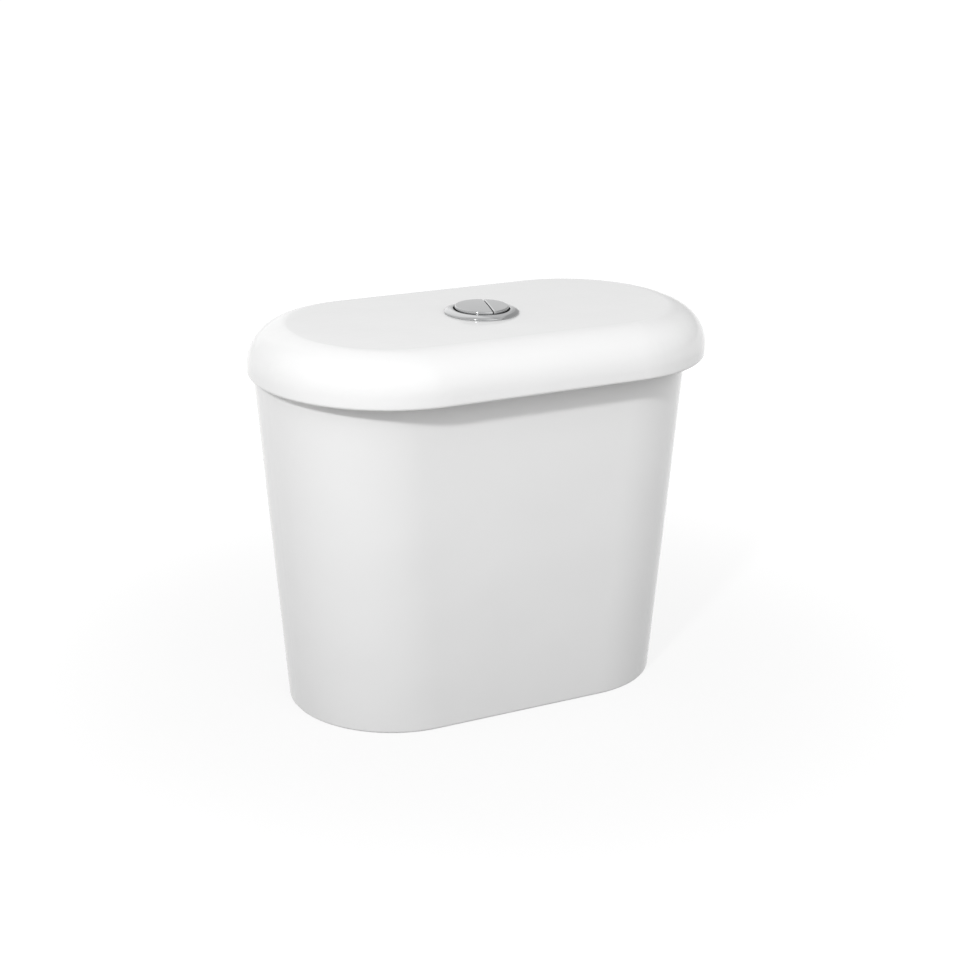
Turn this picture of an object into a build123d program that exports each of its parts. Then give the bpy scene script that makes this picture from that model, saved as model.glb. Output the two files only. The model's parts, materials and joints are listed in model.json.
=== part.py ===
from build123d import *
import math
import os

# A close-coupled toilet cistern in white china with a round dual-flush button in its lid.
# X runs across the width, the front looks along -Y and Z is up.
# The origin lies on the plane of the tank's foot, under the middle of the lid.
# Every length is in millimetres.

os.makedirs("parts", exist_ok=True)

# Lid
LID_WIDTH = 390.0
LID_DEPTH = 222.0
LID_HEIGHT = 40.0
LID_END_FLAT = 6.0
LID_CROWN_R = 31.0
LID_FOOT_BEVEL = 1.5
LID_WALL = 9.0
CROWN_BEVEL_SHARE = 2 - math.sqrt(2)
LID_RIB_X = 100.0
LID_RIB_WIDTH = 10.0
LID_LUG_DROP = 8.0
LID_LUG_WIDTH = 7.0
LID_LUG_GAP = 2.0
BUFFER_D = 8.0
BUFFER_HEIGHT = 1.5

# Tank
TANK_HEIGHT = 280.0
TANK_WALL = 9.0
TANK_SIDE_OVERHANG = 9.0
TANK_FRONT_OVERHANG = 31.0
TANK_BACK_OVERHANG = 9.5
TANK_SIDE_TAPER = 24.0
TANK_FRONT_TAPER = 1.0
TANK_BACK_TAPER = 7.5
TANK_END_FLAT = 3.0
TANK_SKIRT_WALL = 11.0
TANK_RECESS_HEIGHT = 34.0
TANK_FLOOR = 10.0
OUTLET_HOLE_D = 62.0
INLET_HOLE_D = 23.0
COUPLING_HOLE_D = 11.0
COUPLING_SPACING = 155.0

# Rosette and barrel in the lid
ROSETTE_RIM = 5.5
ROSETTE_HEIGHT = 3.4
ROSETTE_EDGE_HEIGHT = 1.2
ROSETTE_LAND = 1.6
ROSETTE_BREAK_SHARE = 0.6
ROSETTE_RISE_SHARE = 0.65
ROSETTE_BORE_GAP = 1.2
BARREL_D = 50.0
BARREL_WALL = 1.8
BARREL_DEPTH = 26.0
BARREL_FLOOR = 2.0
BARREL_HOLE_GAP = 1.0
BARREL_WASHER_RIM = 7.0
BARREL_WASHER = 1.5
BARREL_NUT_RIM = 6.0
BARREL_NUT_HEIGHT = 8.0
BARREL_NUT_SIDES = 8

# Buttons, rods and springs
BUTTON_GAP = 1.2
BUTTON_RISE = 6.0
BUTTON_SKIRT = 12.0
BUTTON_WALL = 1.4
BUTTON_TOP = 2.0
BUTTON_BEVEL = 0.8
BUTTON_SPLIT_SHARE = 0.1227
BUTTON_SPLIT_TURN = 17.0
BUTTON_SPLIT_GAP = 0.8
BUTTON_TRAVEL = 7.0
HUB_GAP = 0.8
HUB_DEPTH = 10.0
ROD_PLACE_SHARE = 0.2955
ROD_SPRING_GAP = 1.0
ROD_TIP_BEVEL_SHARE = 0.33
ROD_SPIGOT_SHARE = 0.66
ROD_SPIGOT = 6.0
ROD_HOLE_GAP = 0.4
SPRING_SHARE = 0.22
SPRING_WIRE = 0.8
SPRING_TURNS = 4
SPRING_SIDES = 10
SPRING_SEAT_GAP = 0.3

# Fits
FIT_GAP = 0.1
RUNNING_GAP = 0.08
SOFT_GAP = 0.3
CUT = 1.0

# Flush valve
VALVE_FLANGE_D = 88.0
VALVE_FLANGE = 4.0
VALVE_TAIL_D = 58.0
VALVE_TAIL_BELOW = 24.0
VALVE_BORE_D = 50.0
VALVE_SEAT_D = 64.0
VALVE_SEAT_WALL = 4.5
VALVE_SEAT_HEIGHT = 12.0
VALVE_LIP = 1.4
BASE_WASHER = 3.0
BACK_NUT_FLATS = 72.0
BACK_NUT_HEIGHT = 9.0
BACK_NUT_SIDES = 6
COUPLING_GASKET_D = 90.0
COUPLING_GASKET_LIFT = 2.0
COUPLING_GASKET_CHAMFER = 8.0
CAGE_D = 83.0
CAGE_WALL = 3.5
CAGE_FOOT = 8.0
CAGE_WINDOW_WIDTH = 42.0
CAGE_WINDOW_HEIGHT = 78.0
CAGE_WINDOW_R = 6.0
CAGE_HEAD = 12.0

# Tower, which carries the levers
TOWER_PLATE_DROP = 44.0
TOWER_PLATE = 4.0
TOWER_PLATE_WIDTH = 80.0
TOWER_PLATE_DEPTH = 83.0
TOWER_PLATE_R = 14.0
TOWER_PLATE_HOLE_D = 36.0
TOWER_FOOT = 5.0
COLUMN_WIDTH = 14.0
COLUMN_RIB = 3.0
COLUMN_RIB_DEPTH = 3.0
EAR_R = 5.0
EAR_THICKNESS = 3.0
LEVER_PIN_D = 4.0
LEVER_PIN_END = 1.5
LEVER_WIDTH = 9.0
LEVER_SIDE_GAP = 0.4
LEVER_INNER_ARM = 16.0
LEVER_OUTER_ARM = 18.0
LEVER_TIP_R = 2.5
LEVER_HUB_R = 4.0
LEVER_CROOK = 2.0
LEVER_GAP = 0.5
LEVER_RISE = 10.0

# Piston with its seal, float and lifting frame
OVERFLOW_D = 32.0
OVERFLOW_WALL = 2.0
OVERFLOW_MOUTH_GAP = 2.5
PISTON_FOOT_D = 54.0
PISTON_FOOT = 3.5
FLUSH_SEAL_D = 62.0
FLUSH_SEAL = 3.2
RETAINER_D = 44.0
RETAINER_HEIGHT = 7.0
PISTON_FLOAT_D = 60.0
PISTON_FLOAT_HEIGHT = 40.0
FRAME_BAR_LIFT = 8.0
FRAME_BAR_HEIGHT = 6.0
FRAME_WIDTH = 8.0
FRAME_HUB_D = 39.0
FRAME_STRAP = 3.0
FRAME_STRAP_WIDTH = 5.0
FRAME_STRAP_GAP = 1.2
FRAME_STRAP_PAST = 3.0
HOOK_HEIGHT = 6.0
HOOK_WALL = 2.0
HOOK_PAST = 1.0
HOOK_GAP = 0.3
HOOK_FREE_GAP = 0.5

# Fill valve
FILL_WALL_DISTANCE = 42.0
FILL_Y = 9.0
SHANK_D = 20.9
SHANK_BORE_D = 11.0
SHANK_BELOW = 27.0
SHANK_RELIEF = 0.9
SHANK_RELIEF_DROP = 1.5
SHANK_RELIEF_WIDTH = 2.0
SHANK_FLANGE_D = 32.0
SHANK_FLANGE = 4.0
SHANK_SPIGOT_D = 18.0
SHANK_SPIGOT = 15.0
CONE_WASHER_D = 34.0
CONE_WASHER = 3.0
CONE_WASHER_CHAMFER = 1.5
INLET_NUT_FLATS = 30.0
INLET_NUT_HEIGHT = 8.0
INLET_NUT_SIDES = 6
STRAINER_WALL = 1.0
STRAINER_RIM_D = 14.0
STRAINER_RIM = 1.5
STRAINER_HEIGHT = 16.0
RISER_D = 22.0
RISER_WALL = 1.9
HEAD_DROP = 54.0
HEAD_D = 34.0
HEAD_HEIGHT = 20.0
HEAD_SOCKET = 6.0
HEAD_NECK_D = 27.0
NIPPLE_D = 5.0
NIPPLE_BORE_D = 3.0
NIPPLE_LENGTH = 10.0
NIPPLE_RISE = 10.0
DIAPHRAGM_D = 28.0
DIAPHRAGM = 2.0
CAP_D = 36.0
CAP_HEIGHT = 10.0
CAP_SIDES = 12
PILOT_D = 4.0
PILOT_GAP = 0.4

# Float, link rod and lever of the fill valve
CUP_D = 54.0
CUP_HEIGHT = 55.0
CUP_WALL = 1.8
CUP_TOP = 2.5
CUP_EDGE_R = 4.0
CUP_DROP = 75.0
CUP_BORE_GAP = 0.6
CUP_GUIDE_WALL = 1.6
CUP_TRAVEL = 12.0
LINK_X = 22.0
LINK_D = 3.0
LINK_BELOW = 12.0
LINK_HEAD_D = 6.0
LINK_HEAD = 2.0
LINK_HEAD_GAP = 2.4
ADJUSTER_D = 9.0
ADJUSTER_HEIGHT = 7.0
FILL_LEVER_ARM = 30.0
FILL_LEVER_TAIL = 6.0
FILL_LEVER_WIDTH = 8.0
FILL_LEVER_HUB_R = 3.4
FILL_LEVER_TIP_R = 2.6
FILL_LEVER_RISE = 12.0
FILL_SLOT_LENGTH = 6.0
FILL_SLOT_WIDTH = 4.2
FILL_PIN_D = 3.0
FILL_PIN_END = 1.0
FILL_EAR_THICKNESS = 2.4
FILL_EAR_R = 3.6

# Refill hose and its clip
HOSE_D = 7.0
HOSE_Y = FILL_Y
HOSE_RISE = 36.0
HOSE_END_LIFT = 1.0
HOSE_SIDES = 12
HOSE_ARC_SHARE = 0.45
CLIP_RING_WALL = 2.0
CLIP_RING_HEIGHT = 7.0
CLIP_RING_LIFT = 6.0
CLIP_POST_WIDTH = 7.0
CLIP_POST_DEPTH = 5.0
CLIP_FOOT = 2.0
CLIP_FOOT_DEPTH = 11.0

# Levels and places that follow from the sizes above
LID_EDGE_Z = TANK_HEIGHT + BUFFER_HEIGHT
LID_TOP_Z = LID_EDGE_Z + LID_HEIGHT
LID_ROOF_Z = LID_TOP_Z - LID_WALL
LID_CORNER_R = (LID_DEPTH - LID_END_FLAT) / 2
FLOOR_Z = TANK_RECESS_HEIGHT + TANK_FLOOR
BUTTON_TOP_Z = LID_TOP_Z + BUTTON_RISE
BUTTON_CEILING_Z = BUTTON_TOP_Z - BUTTON_TOP
BARREL_BOTTOM_Z = LID_TOP_Z - BARREL_DEPTH
BARREL_FLOOR_Z = BARREL_BOTTOM_Z + BARREL_FLOOR
BARREL_BORE_D = BARREL_D - 2 * BARREL_WALL
ROSETTE_D = BARREL_D + 2 * ROSETTE_RIM
BUTTON_D = BARREL_BORE_D - 2 * BUTTON_GAP
BUTTON_SPLIT_OFFSET = BUTTON_SPLIT_SHARE * BUTTON_D
ROD_X = ROD_PLACE_SHARE * BUTTON_D
SPRING_D = SPRING_SHARE * BUTTON_D
HUB_D = SPRING_D - 2 * SPRING_WIRE - 2 * HUB_GAP
ROD_D = SPRING_D - 2 * SPRING_WIRE - 2 * ROD_SPRING_GAP
ROD_SPIGOT_D = ROD_SPIGOT_SHARE * ROD_D
FLANGE_Z = FLOOR_Z + BASE_WASHER
CAGE_Z = FLANGE_Z + VALVE_FLANGE
CAGE_TOP_Z = CAGE_Z + CAGE_FOOT + CAGE_WINDOW_HEIGHT + CAGE_HEAD
SEAT_Z = CAGE_Z + VALVE_SEAT_HEIGHT
SEAL_Z = SEAT_Z + SOFT_GAP
PISTON_FOOT_Z = SEAL_Z + FLUSH_SEAL
FLOAT_Z = PISTON_FOOT_Z + PISTON_FOOT
FRAME_BAR_Z = FLOAT_Z + PISTON_FLOAT_HEIGHT + FRAME_BAR_LIFT
PLATE_Z = TANK_HEIGHT - TOWER_PLATE_DROP
PIVOT_Z = PLATE_Z + LEVER_RISE
LEVER_TILT = math.degrees(math.asin(BUTTON_TRAVEL / 2 / LEVER_INNER_ARM))
TILT_COS = math.cos(math.radians(LEVER_TILT))
TILT_SIN = math.sin(math.radians(LEVER_TILT))
PAD_REST_Z = PIVOT_Z + BUTTON_TRAVEL / 2 + LEVER_CROOK * TILT_COS
TIP_REST_Z = PIVOT_Z - LEVER_OUTER_ARM * TILT_SIN + LEVER_CROOK * TILT_COS
PISTON_TRAVEL = BUTTON_TRAVEL * LEVER_OUTER_ARM / LEVER_INNER_ARM
PIVOT_X = ROD_X + LEVER_INNER_ARM
ROD_BOTTOM_Z = PAD_REST_Z + LEVER_TIP_R + LEVER_GAP
OVERFLOW_TOP_Z = PLATE_Z - TOWER_PLATE - PISTON_TRAVEL - OVERFLOW_MOUTH_GAP
EAR_Y = LEVER_WIDTH / 2 + LEVER_SIDE_GAP
TIP_REST_X = PIVOT_X + LEVER_OUTER_ARM * TILT_COS + LEVER_CROOK * TILT_SIN
STRAP_X = TIP_REST_X + LEVER_TIP_R + FRAME_STRAP_GAP
FLOOR_SHARE = FLOOR_Z / TANK_HEIGHT
FLOOR_HALF_WIDTH = LID_WIDTH / 2 - TANK_SIDE_OVERHANG - TANK_SIDE_TAPER * (1 - FLOOR_SHARE) - TANK_WALL
FILL_X = FLOOR_HALF_WIDTH - FILL_WALL_DISTANCE
SHANK_Z = FLOOR_Z + CONE_WASHER
RISER_Z = SHANK_Z + SHANK_FLANGE
HEAD_Z = TANK_HEIGHT - HEAD_DROP
HEAD_TOP_Z = HEAD_Z + HEAD_HEIGHT
CAP_TOP_Z = HEAD_TOP_Z + CAP_HEIGHT
FILL_PIVOT_X = FILL_X + LINK_X - FILL_LEVER_ARM
FILL_PIVOT_Z = CAP_TOP_Z + FILL_LEVER_RISE
FILL_TILT = math.degrees(math.asin(CUP_TRAVEL / 2 / FILL_LEVER_ARM))
CUP_TOP_Z = TANK_HEIGHT - CUP_DROP


def save(name, shape):
    """Writes one sub-part as its own file."""
    export_step(shape, f"parts/{name}.step")


def disc(diameter, low, high, x=0, y=0):
    """A round bar from one level to another."""
    return Pos(x, y, low) * extrude(Circle(diameter / 2), high - low)


def ring(outer, bore, low, high, x=0, y=0):
    """A round tube from one level to another."""
    face = Circle(outer / 2) - Circle(bore / 2)
    return Pos(x, y, low) * extrude(face, high - low)


def turned(points, x=0, y=0):
    """A body turned about a vertical axis from half its section, given as radius and level."""
    section = make_face(Polyline([(r, 0, z) for r, z in points], close=True))
    return Pos(x, y, 0) * revolve(section, Axis.Z)


def bar_along_y(diameter, x, z, low, high):
    """A round bar that lies along Y."""
    return Pos(x, high, z) * Rot(90, 0, 0) * extrude(Circle(diameter / 2), high - low)


def block(x_low, x_high, y_low, y_high, z_low, z_high):
    """A rectangular bar given by its faces."""
    size = (x_high - x_low, y_high - y_low, z_high - z_low)
    centre = ((x_low + x_high) / 2, (y_low + y_high) / 2, (z_low + z_high) / 2)
    return Pos(*centre) * Box(*size)


def nut(flats, sides, thread, low, height):
    """A nut with flat sides round a threaded bar."""
    plan = RegularPolygon(flats / 2, sides, major_radius=False) - Circle(thread / 2 + FIT_GAP)
    return Pos(0, 0, low) * extrude(plan, height)


def place_on_circle(radius, turn_share):
    """The point on a circle after a share of a turn."""
    angle = math.tau * turn_share
    return radius * math.cos(angle), radius * math.sin(angle)


# Tank and lid

def tank_half_width(level, inset):
    """Half the tank's width at a level, drawn in by a wall."""
    return LID_WIDTH / 2 - TANK_SIDE_OVERHANG - TANK_SIDE_TAPER * (1 - level / TANK_HEIGHT) - inset


def tank_front(level, inset):
    """The place of the tank's front face at a level."""
    return TANK_FRONT_OVERHANG + TANK_FRONT_TAPER * (1 - level / TANK_HEIGHT) + inset - LID_DEPTH / 2


def tank_back(level, inset):
    """The place of the tank's back face at a level."""
    return LID_DEPTH / 2 - TANK_BACK_OVERHANG - TANK_BACK_TAPER * (1 - level / TANK_HEIGHT) - inset


def tank_space(low, high, inset):
    """The tapered form between two levels, with its upright corners rounded in full."""
    narrow, wide = tank_half_width(low, inset), tank_half_width(high, inset)
    front = [(-narrow, 0, low), (narrow, 0, low), (wide, 0, high), (-wide, 0, high)]
    across = extrude(make_face(Polyline(front, close=True)), LID_DEPTH, dir=(0, 1, 0), both=True)
    side = [(0, tank_front(low, inset), low), (0, tank_back(low, inset), low)]
    side += [(0, tank_back(high, inset), high), (0, tank_front(high, inset), high)]
    along = extrude(make_face(Polyline(side, close=True)), LID_WIDTH, dir=(1, 0, 0), both=True)
    body = across & along
    upright = [edge for edge in body.edges() if edge.bounding_box().size.Z > (high - low) / 2]
    depth = tank_back(low, inset) - tank_front(low, inset)
    return fillet(upright, (depth - TANK_END_FLAT) / 2)


def make_tank():
    """The china tank, with a foot recess that hides the nuts and an open mouth."""
    body = tank_space(0, TANK_HEIGHT, 0)
    body = body - tank_space(FLOOR_Z, TANK_HEIGHT, TANK_WALL)
    body = body - tank_space(0, TANK_RECESS_HEIGHT, TANK_SKIRT_WALL)
    low, high = TANK_RECESS_HEIGHT - CUT, FLOOR_Z + CUT
    body = body - disc(OUTLET_HOLE_D, low, high) - disc(INLET_HOLE_D, low, high, FILL_X, FILL_Y)
    for side in (-1, 1):
        body = body - disc(COUPLING_HOLE_D, low, high, side * COUPLING_SPACING / 2)
    return body


def wall_middle(front):
    """The middle of the tank's front or back wall at the rim."""
    return tank_front(TANK_HEIGHT, TANK_WALL / 2) if front else tank_back(TANK_HEIGHT, TANK_WALL / 2)


def lid_rib(x, front):
    """A rib that rests over the rim, with a lug that drops inside the wall."""
    way = 1 if front else -1
    inside = wall_middle(front) + way * (TANK_WALL / 2 + LID_LUG_GAP)
    end = inside + way * LID_LUG_WIDTH
    skirt = way * (LID_WALL / 2 - LID_DEPTH / 2)
    lug_z = LID_EDGE_Z - LID_LUG_DROP
    top = LID_ROOF_Z + LID_WALL / 2
    outline = [(skirt, LID_EDGE_Z), (inside, LID_EDGE_Z), (inside, lug_z)]
    outline += [(end, lug_z), (end, top), (skirt, top)]
    face = make_face(Polyline([(x - LID_RIB_WIDTH / 2, y, z) for y, z in outline], close=True))
    return extrude(face, LID_RIB_WIDTH, dir=(1, 0, 0))


def make_lid():
    """The china lid: one thick shell with a full crown, hollow below, with four ribs."""
    outline = Pos(0, 0, LID_EDGE_Z) * RectangleRounded(LID_WIDTH, LID_DEPTH, LID_CORNER_R)
    body = extrude(outline, LID_HEIGHT)
    body = fillet(body.edges().group_by(Axis.Z)[-1], LID_CROWN_R)
    body = chamfer(body.edges().group_by(Axis.Z)[0], LID_FOOT_BEVEL)
    inner = RectangleRounded(LID_WIDTH - 2 * LID_WALL, LID_DEPTH - 2 * LID_WALL, LID_CORNER_R - LID_WALL)
    hollow = extrude(Pos(0, 0, LID_EDGE_Z) * inner, LID_HEIGHT - LID_WALL)
    hollow = chamfer(hollow.edges().group_by(Axis.Z)[-1], (LID_CROWN_R - LID_WALL) * CROWN_BEVEL_SHARE)
    shell = body - hollow
    for side in (-1, 1):
        for front in (True, False):
            rib = lid_rib(side * LID_RIB_X, front)
            above = block(-LID_WIDTH, LID_WIDTH, -LID_DEPTH, LID_DEPTH, LID_EDGE_Z - LID_DEPTH, LID_ROOF_Z)
            shell = shell + (rib & above & (body + lug_room(side, front)))
    return shell - disc(BARREL_D + 2 * BARREL_HOLE_GAP, LID_ROOF_Z - CUT, LID_TOP_Z + CUT)


def lug_room(side, front):
    """The space below the lid's edge that a rib's lug fills."""
    x, y = side * LID_RIB_X, wall_middle(front)
    reach = TANK_WALL + LID_LUG_GAP + LID_LUG_WIDTH
    low, high = LID_EDGE_Z - LID_LUG_DROP, LID_EDGE_Z + LID_LUG_DROP
    return block(x - reach, x + reach, y - reach, y + reach, low, high)


def make_buffers():
    """Four rubber buffers between the ribs and the rim."""
    pads = []
    for side in (-1, 1):
        for front in (True, False):
            pads.append(disc(BUFFER_D, TANK_HEIGHT, LID_EDGE_Z, side * LID_RIB_X, wall_middle(front)))
    return Compound(pads)


# Button set in the lid

def make_rosette():
    """The chrome ring on top of the barrel, which covers the hole in the lid."""
    bore = BUTTON_D / 2 + ROSETTE_BORE_GAP
    edge, top = LID_TOP_Z + ROSETTE_EDGE_HEIGHT, LID_TOP_Z + ROSETTE_HEIGHT
    land = bore + ROSETTE_LAND
    middle = land + (ROSETTE_D / 2 - land) * ROSETTE_BREAK_SHARE
    outline = [(bore, LID_TOP_Z), (ROSETTE_D / 2, LID_TOP_Z), (ROSETTE_D / 2, edge)]
    outline += [(middle, edge + (top - edge) * ROSETTE_RISE_SHARE), (land, top), (bore, top)]
    return turned(outline)


def make_barrel():
    """The plastic barrel that passes through the lid and guides the rods."""
    outer, bore = BARREL_D / 2, BARREL_BORE_D / 2
    outline = [(0, BARREL_BOTTOM_Z), (outer, BARREL_BOTTOM_Z), (outer, LID_TOP_Z)]
    outline += [(bore, LID_TOP_Z), (bore, BARREL_FLOOR_Z), (0, BARREL_FLOOR_Z)]
    body = turned(outline)
    for side in (-1, 1):
        hole = disc(ROD_D + 2 * ROD_HOLE_GAP, BARREL_BOTTOM_Z - CUT, BARREL_FLOOR_Z + CUT, side * ROD_X)
        body = body - hole
    return body


def make_barrel_washer():
    """The soft washer between the lid's roof and the nut."""
    outer = BARREL_D + 2 * BARREL_WASHER_RIM
    return ring(outer, BARREL_D + 2 * FIT_GAP, LID_ROOF_Z - BARREL_WASHER, LID_ROOF_Z)


def make_barrel_nut():
    """The eight-sided nut that clamps the barrel under the lid."""
    low = LID_ROOF_Z - BARREL_WASHER - BARREL_NUT_HEIGHT
    return nut(BARREL_D + 2 * BARREL_NUT_RIM, BARREL_NUT_SIDES, BARREL_D, low, BARREL_NUT_HEIGHT)


def button_outline(left):
    """The plan of one button: the round cut by a straight split."""
    cut = BUTTON_SPLIT_OFFSET - BUTTON_SPLIT_GAP / 2 if left else BUTTON_SPLIT_OFFSET + BUTTON_SPLIT_GAP / 2
    middle = cut - BUTTON_D if left else cut + BUTTON_D
    half = Rot(0, 0, -BUTTON_SPLIT_TURN) * Pos(middle, 0) * Rectangle(2 * BUTTON_D, 2 * BUTTON_D)
    return Circle(BUTTON_D / 2) & half


def make_button(left):
    """One chrome button: a thin cap with a skirt and a hub for its rod."""
    outline = button_outline(left)
    low = BUTTON_TOP_Z - BUTTON_SKIRT
    body = Pos(0, 0, low) * extrude(outline, BUTTON_SKIRT)
    body = chamfer(body.edges().group_by(Axis.Z)[-1], BUTTON_BEVEL)
    inner = offset(outline, -BUTTON_WALL)
    body = body - Pos(0, 0, low) * extrude(inner, BUTTON_SKIRT - BUTTON_TOP)
    x = -ROD_X if left else ROD_X
    hub_low = BUTTON_CEILING_Z - HUB_DEPTH
    hub = ring(HUB_D, ROD_SPIGOT_D + 2 * FIT_GAP, hub_low, BUTTON_CEILING_Z, x)
    return body + hub


def make_rod(x):
    """A push rod: a round bar with a spigot in the hub and a bevelled tip over the lever."""
    hub_low = BUTTON_CEILING_Z - HUB_DEPTH
    shaft = disc(ROD_D, ROD_BOTTOM_Z, hub_low, x)
    shaft = chamfer(shaft.edges().group_by(Axis.Z)[0], ROD_TIP_BEVEL_SHARE * ROD_D)
    spigot = disc(ROD_SPIGOT_D, hub_low, hub_low + ROD_SPIGOT, x)
    return shaft + spigot


def make_spring(x):
    """A return spring round the rod, from the barrel's floor to the button's ceiling."""
    low = BARREL_FLOOR_Z + SPRING_SEAT_GAP + SPRING_WIRE / 2
    high = BUTTON_CEILING_Z - SPRING_SEAT_GAP - SPRING_WIRE / 2
    count = SPRING_TURNS * SPRING_SIDES
    points = []
    for k in range(count + 1):
        across, along = place_on_circle((SPRING_D - SPRING_WIRE) / 2, k / SPRING_SIDES)
        points.append((x + across, along, low + (high - low) * k / count))
    path = Polyline(points)
    start = Plane(points[0], z_dir=path % 0)
    return sweep(start * Rectangle(SPRING_WIRE, SPRING_WIRE), path=path, transition=Transition.RIGHT)


# Flush valve

def make_valve_base():
    """The valve's base: a flange on the floor, a tail through it and a raised seat."""
    bore, seat = VALVE_BORE_D / 2, VALVE_SEAT_D / 2
    bottom = TANK_RECESS_HEIGHT - VALVE_TAIL_BELOW
    outline = [(bore, bottom), (VALVE_TAIL_D / 2, bottom), (VALVE_TAIL_D / 2, FLANGE_Z)]
    outline += [(VALVE_FLANGE_D / 2, FLANGE_Z), (VALVE_FLANGE_D / 2, CAGE_Z), (seat, CAGE_Z)]
    well = seat - VALVE_SEAT_WALL
    outline += [(seat, SEAT_Z - VALVE_LIP), (seat - VALVE_LIP, SEAT_Z), (well, SEAT_Z), (well, FLANGE_Z)]
    outline += [(bore, FLANGE_Z)]
    return turned(outline)


def make_base_washer():
    """The rubber washer under the valve's flange."""
    return ring(VALVE_FLANGE_D, VALVE_TAIL_D + 2 * FIT_GAP, FLOOR_Z, FLANGE_Z)


def make_back_nut():
    """The large hexagon nut under the floor."""
    low = TANK_RECESS_HEIGHT - BACK_NUT_HEIGHT
    return nut(BACK_NUT_FLATS, BACK_NUT_SIDES, VALVE_TAIL_D, low, BACK_NUT_HEIGHT)


def make_coupling_gasket():
    """The thick sponge ring round the tail that seals on the pan."""
    high = TANK_RECESS_HEIGHT - BACK_NUT_HEIGHT
    bore, outer = VALVE_TAIL_D / 2 + FIT_GAP, COUPLING_GASKET_D / 2
    bevel = COUPLING_GASKET_CHAMFER
    outline = [(bore, COUPLING_GASKET_LIFT), (outer - bevel, COUPLING_GASKET_LIFT)]
    outline += [(outer, COUPLING_GASKET_LIFT + bevel), (outer, high), (bore, high)]
    return turned(outline)


def make_cage():
    """The round cage on the base, with a tall window on each side."""
    body = ring(CAGE_D, CAGE_D - 2 * CAGE_WALL, CAGE_Z, CAGE_TOP_Z)
    middle = CAGE_Z + CAGE_FOOT + CAGE_WINDOW_HEIGHT / 2
    window = RectangleRounded(CAGE_WINDOW_WIDTH, CAGE_WINDOW_HEIGHT, CAGE_WINDOW_R)
    cutter = Rot(90, 0, 0) * extrude(window, CAGE_D, both=True)
    body = body - Pos(0, 0, middle) * cutter
    return body - Pos(0, 0, middle) * Rot(0, 0, 90) * cutter


def make_tower():
    """The tower on the cage: a foot ring, two ribbed columns, a plate and the levers' ears."""
    body = ring(CAGE_D, CAGE_D - 2 * CAGE_WALL, CAGE_TOP_Z, CAGE_TOP_Z + TOWER_FOOT)
    plate = RectangleRounded(TOWER_PLATE_WIDTH, TOWER_PLATE_DEPTH, TOWER_PLATE_R)
    body = body + Pos(0, 0, PLATE_Z - TOWER_PLATE) * extrude(plate, TOWER_PLATE)
    inner, outer = CAGE_D / 2 - CAGE_WALL, CAGE_D / 2
    for side in (-1, 1):
        near, far = sorted((side * inner, side * outer))
        low, high = CAGE_TOP_Z, PLATE_Z - TOWER_PLATE
        column = block(-COLUMN_WIDTH / 2, COLUMN_WIDTH / 2, near, far, low, high) & disc(CAGE_D, low, high)
        near, far = sorted((side * inner, side * (inner - COLUMN_RIB_DEPTH)))
        body = body + column + block(-COLUMN_RIB / 2, COLUMN_RIB / 2, near, far, low + TOWER_FOOT, high)
    for side in (-1, 1):
        for face in (-1, 1):
            near, far = face * EAR_Y, face * (EAR_Y + EAR_THICKNESS)
            body = body + ear(side * PIVOT_X, PIVOT_Z, EAR_R, near, far, PLATE_Z)
        reach = EAR_Y + EAR_THICKNESS + CUT
        body = body - bar_along_y(LEVER_PIN_D + 2 * FIT_GAP, side * PIVOT_X, PIVOT_Z, -reach, reach)
    return body - disc(TOWER_PLATE_HOLE_D, PLATE_Z - TOWER_PLATE - CUT, PLATE_Z + CUT)


def ear(x, z, radius, y_one, y_two, foot_z):
    """An upright ear with a round top, for a pin along Y."""
    low, high = sorted((y_one, y_two))
    return bar_along_y(2 * radius, x, z, low, high) + block(x - radius, x + radius, low, high, foot_z, z)


def pivot_pin(diameter, x, z, half):
    """A pin along Y through a pair of ears."""
    return bar_along_y(diameter, x, z, -half, half)


def make_lever_pins():
    """The two pins of the flush levers."""
    half = EAR_Y + EAR_THICKNESS + LEVER_PIN_END
    return Compound([pivot_pin(LEVER_PIN_D, side * PIVOT_X, PIVOT_Z, half) for side in (-1, 1)])


def rocker(arms, hub_r, tip_r, width, pin_d, crook=0):
    """A two-armed lever about a pin along Y, with its arms along X and its tips raised by a crook."""
    hub = Circle(hub_r)
    plan = hub
    for arm in arms:
        plan = plan + make_hull([hub.edge(), (Pos(arm, crook) * Circle(tip_r)).edge()])
    plan = plan - Circle(pin_d / 2 + RUNNING_GAP)
    return Pos(0, width / 2, 0) * Rot(90, 0, 0) * extrude(plan, width)


def make_flush_lever(side):
    """A flush lever: its inner arm lies under the rod and its outer arm under the frame's lug."""
    arms = (-side * LEVER_INNER_ARM, side * LEVER_OUTER_ARM)
    lever = rocker(arms, LEVER_HUB_R, LEVER_TIP_R, LEVER_WIDTH, LEVER_PIN_D, LEVER_CROOK)
    return Pos(side * PIVOT_X, 0, PIVOT_Z) * Rot(0, side * LEVER_TILT, 0) * lever


# Piston of the flush valve

def make_overflow_tube():
    """The overflow tube, with the foot plate that holds the seal."""
    outer, bore = OVERFLOW_D / 2, OVERFLOW_D / 2 - OVERFLOW_WALL
    low = SEAL_Z - RETAINER_HEIGHT
    outline = [(bore, low), (outer, low), (outer, PISTON_FOOT_Z), (PISTON_FOOT_D / 2, PISTON_FOOT_Z)]
    outline += [(PISTON_FOOT_D / 2, FLOAT_Z), (outer, FLOAT_Z)]
    outline += [(outer, OVERFLOW_TOP_Z), (bore, OVERFLOW_TOP_Z)]
    return turned(outline)


def make_flush_seal():
    """The flat rubber seal under the piston's foot."""
    return ring(FLUSH_SEAL_D, OVERFLOW_D + 2 * FIT_GAP, SEAL_Z, PISTON_FOOT_Z)


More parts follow.
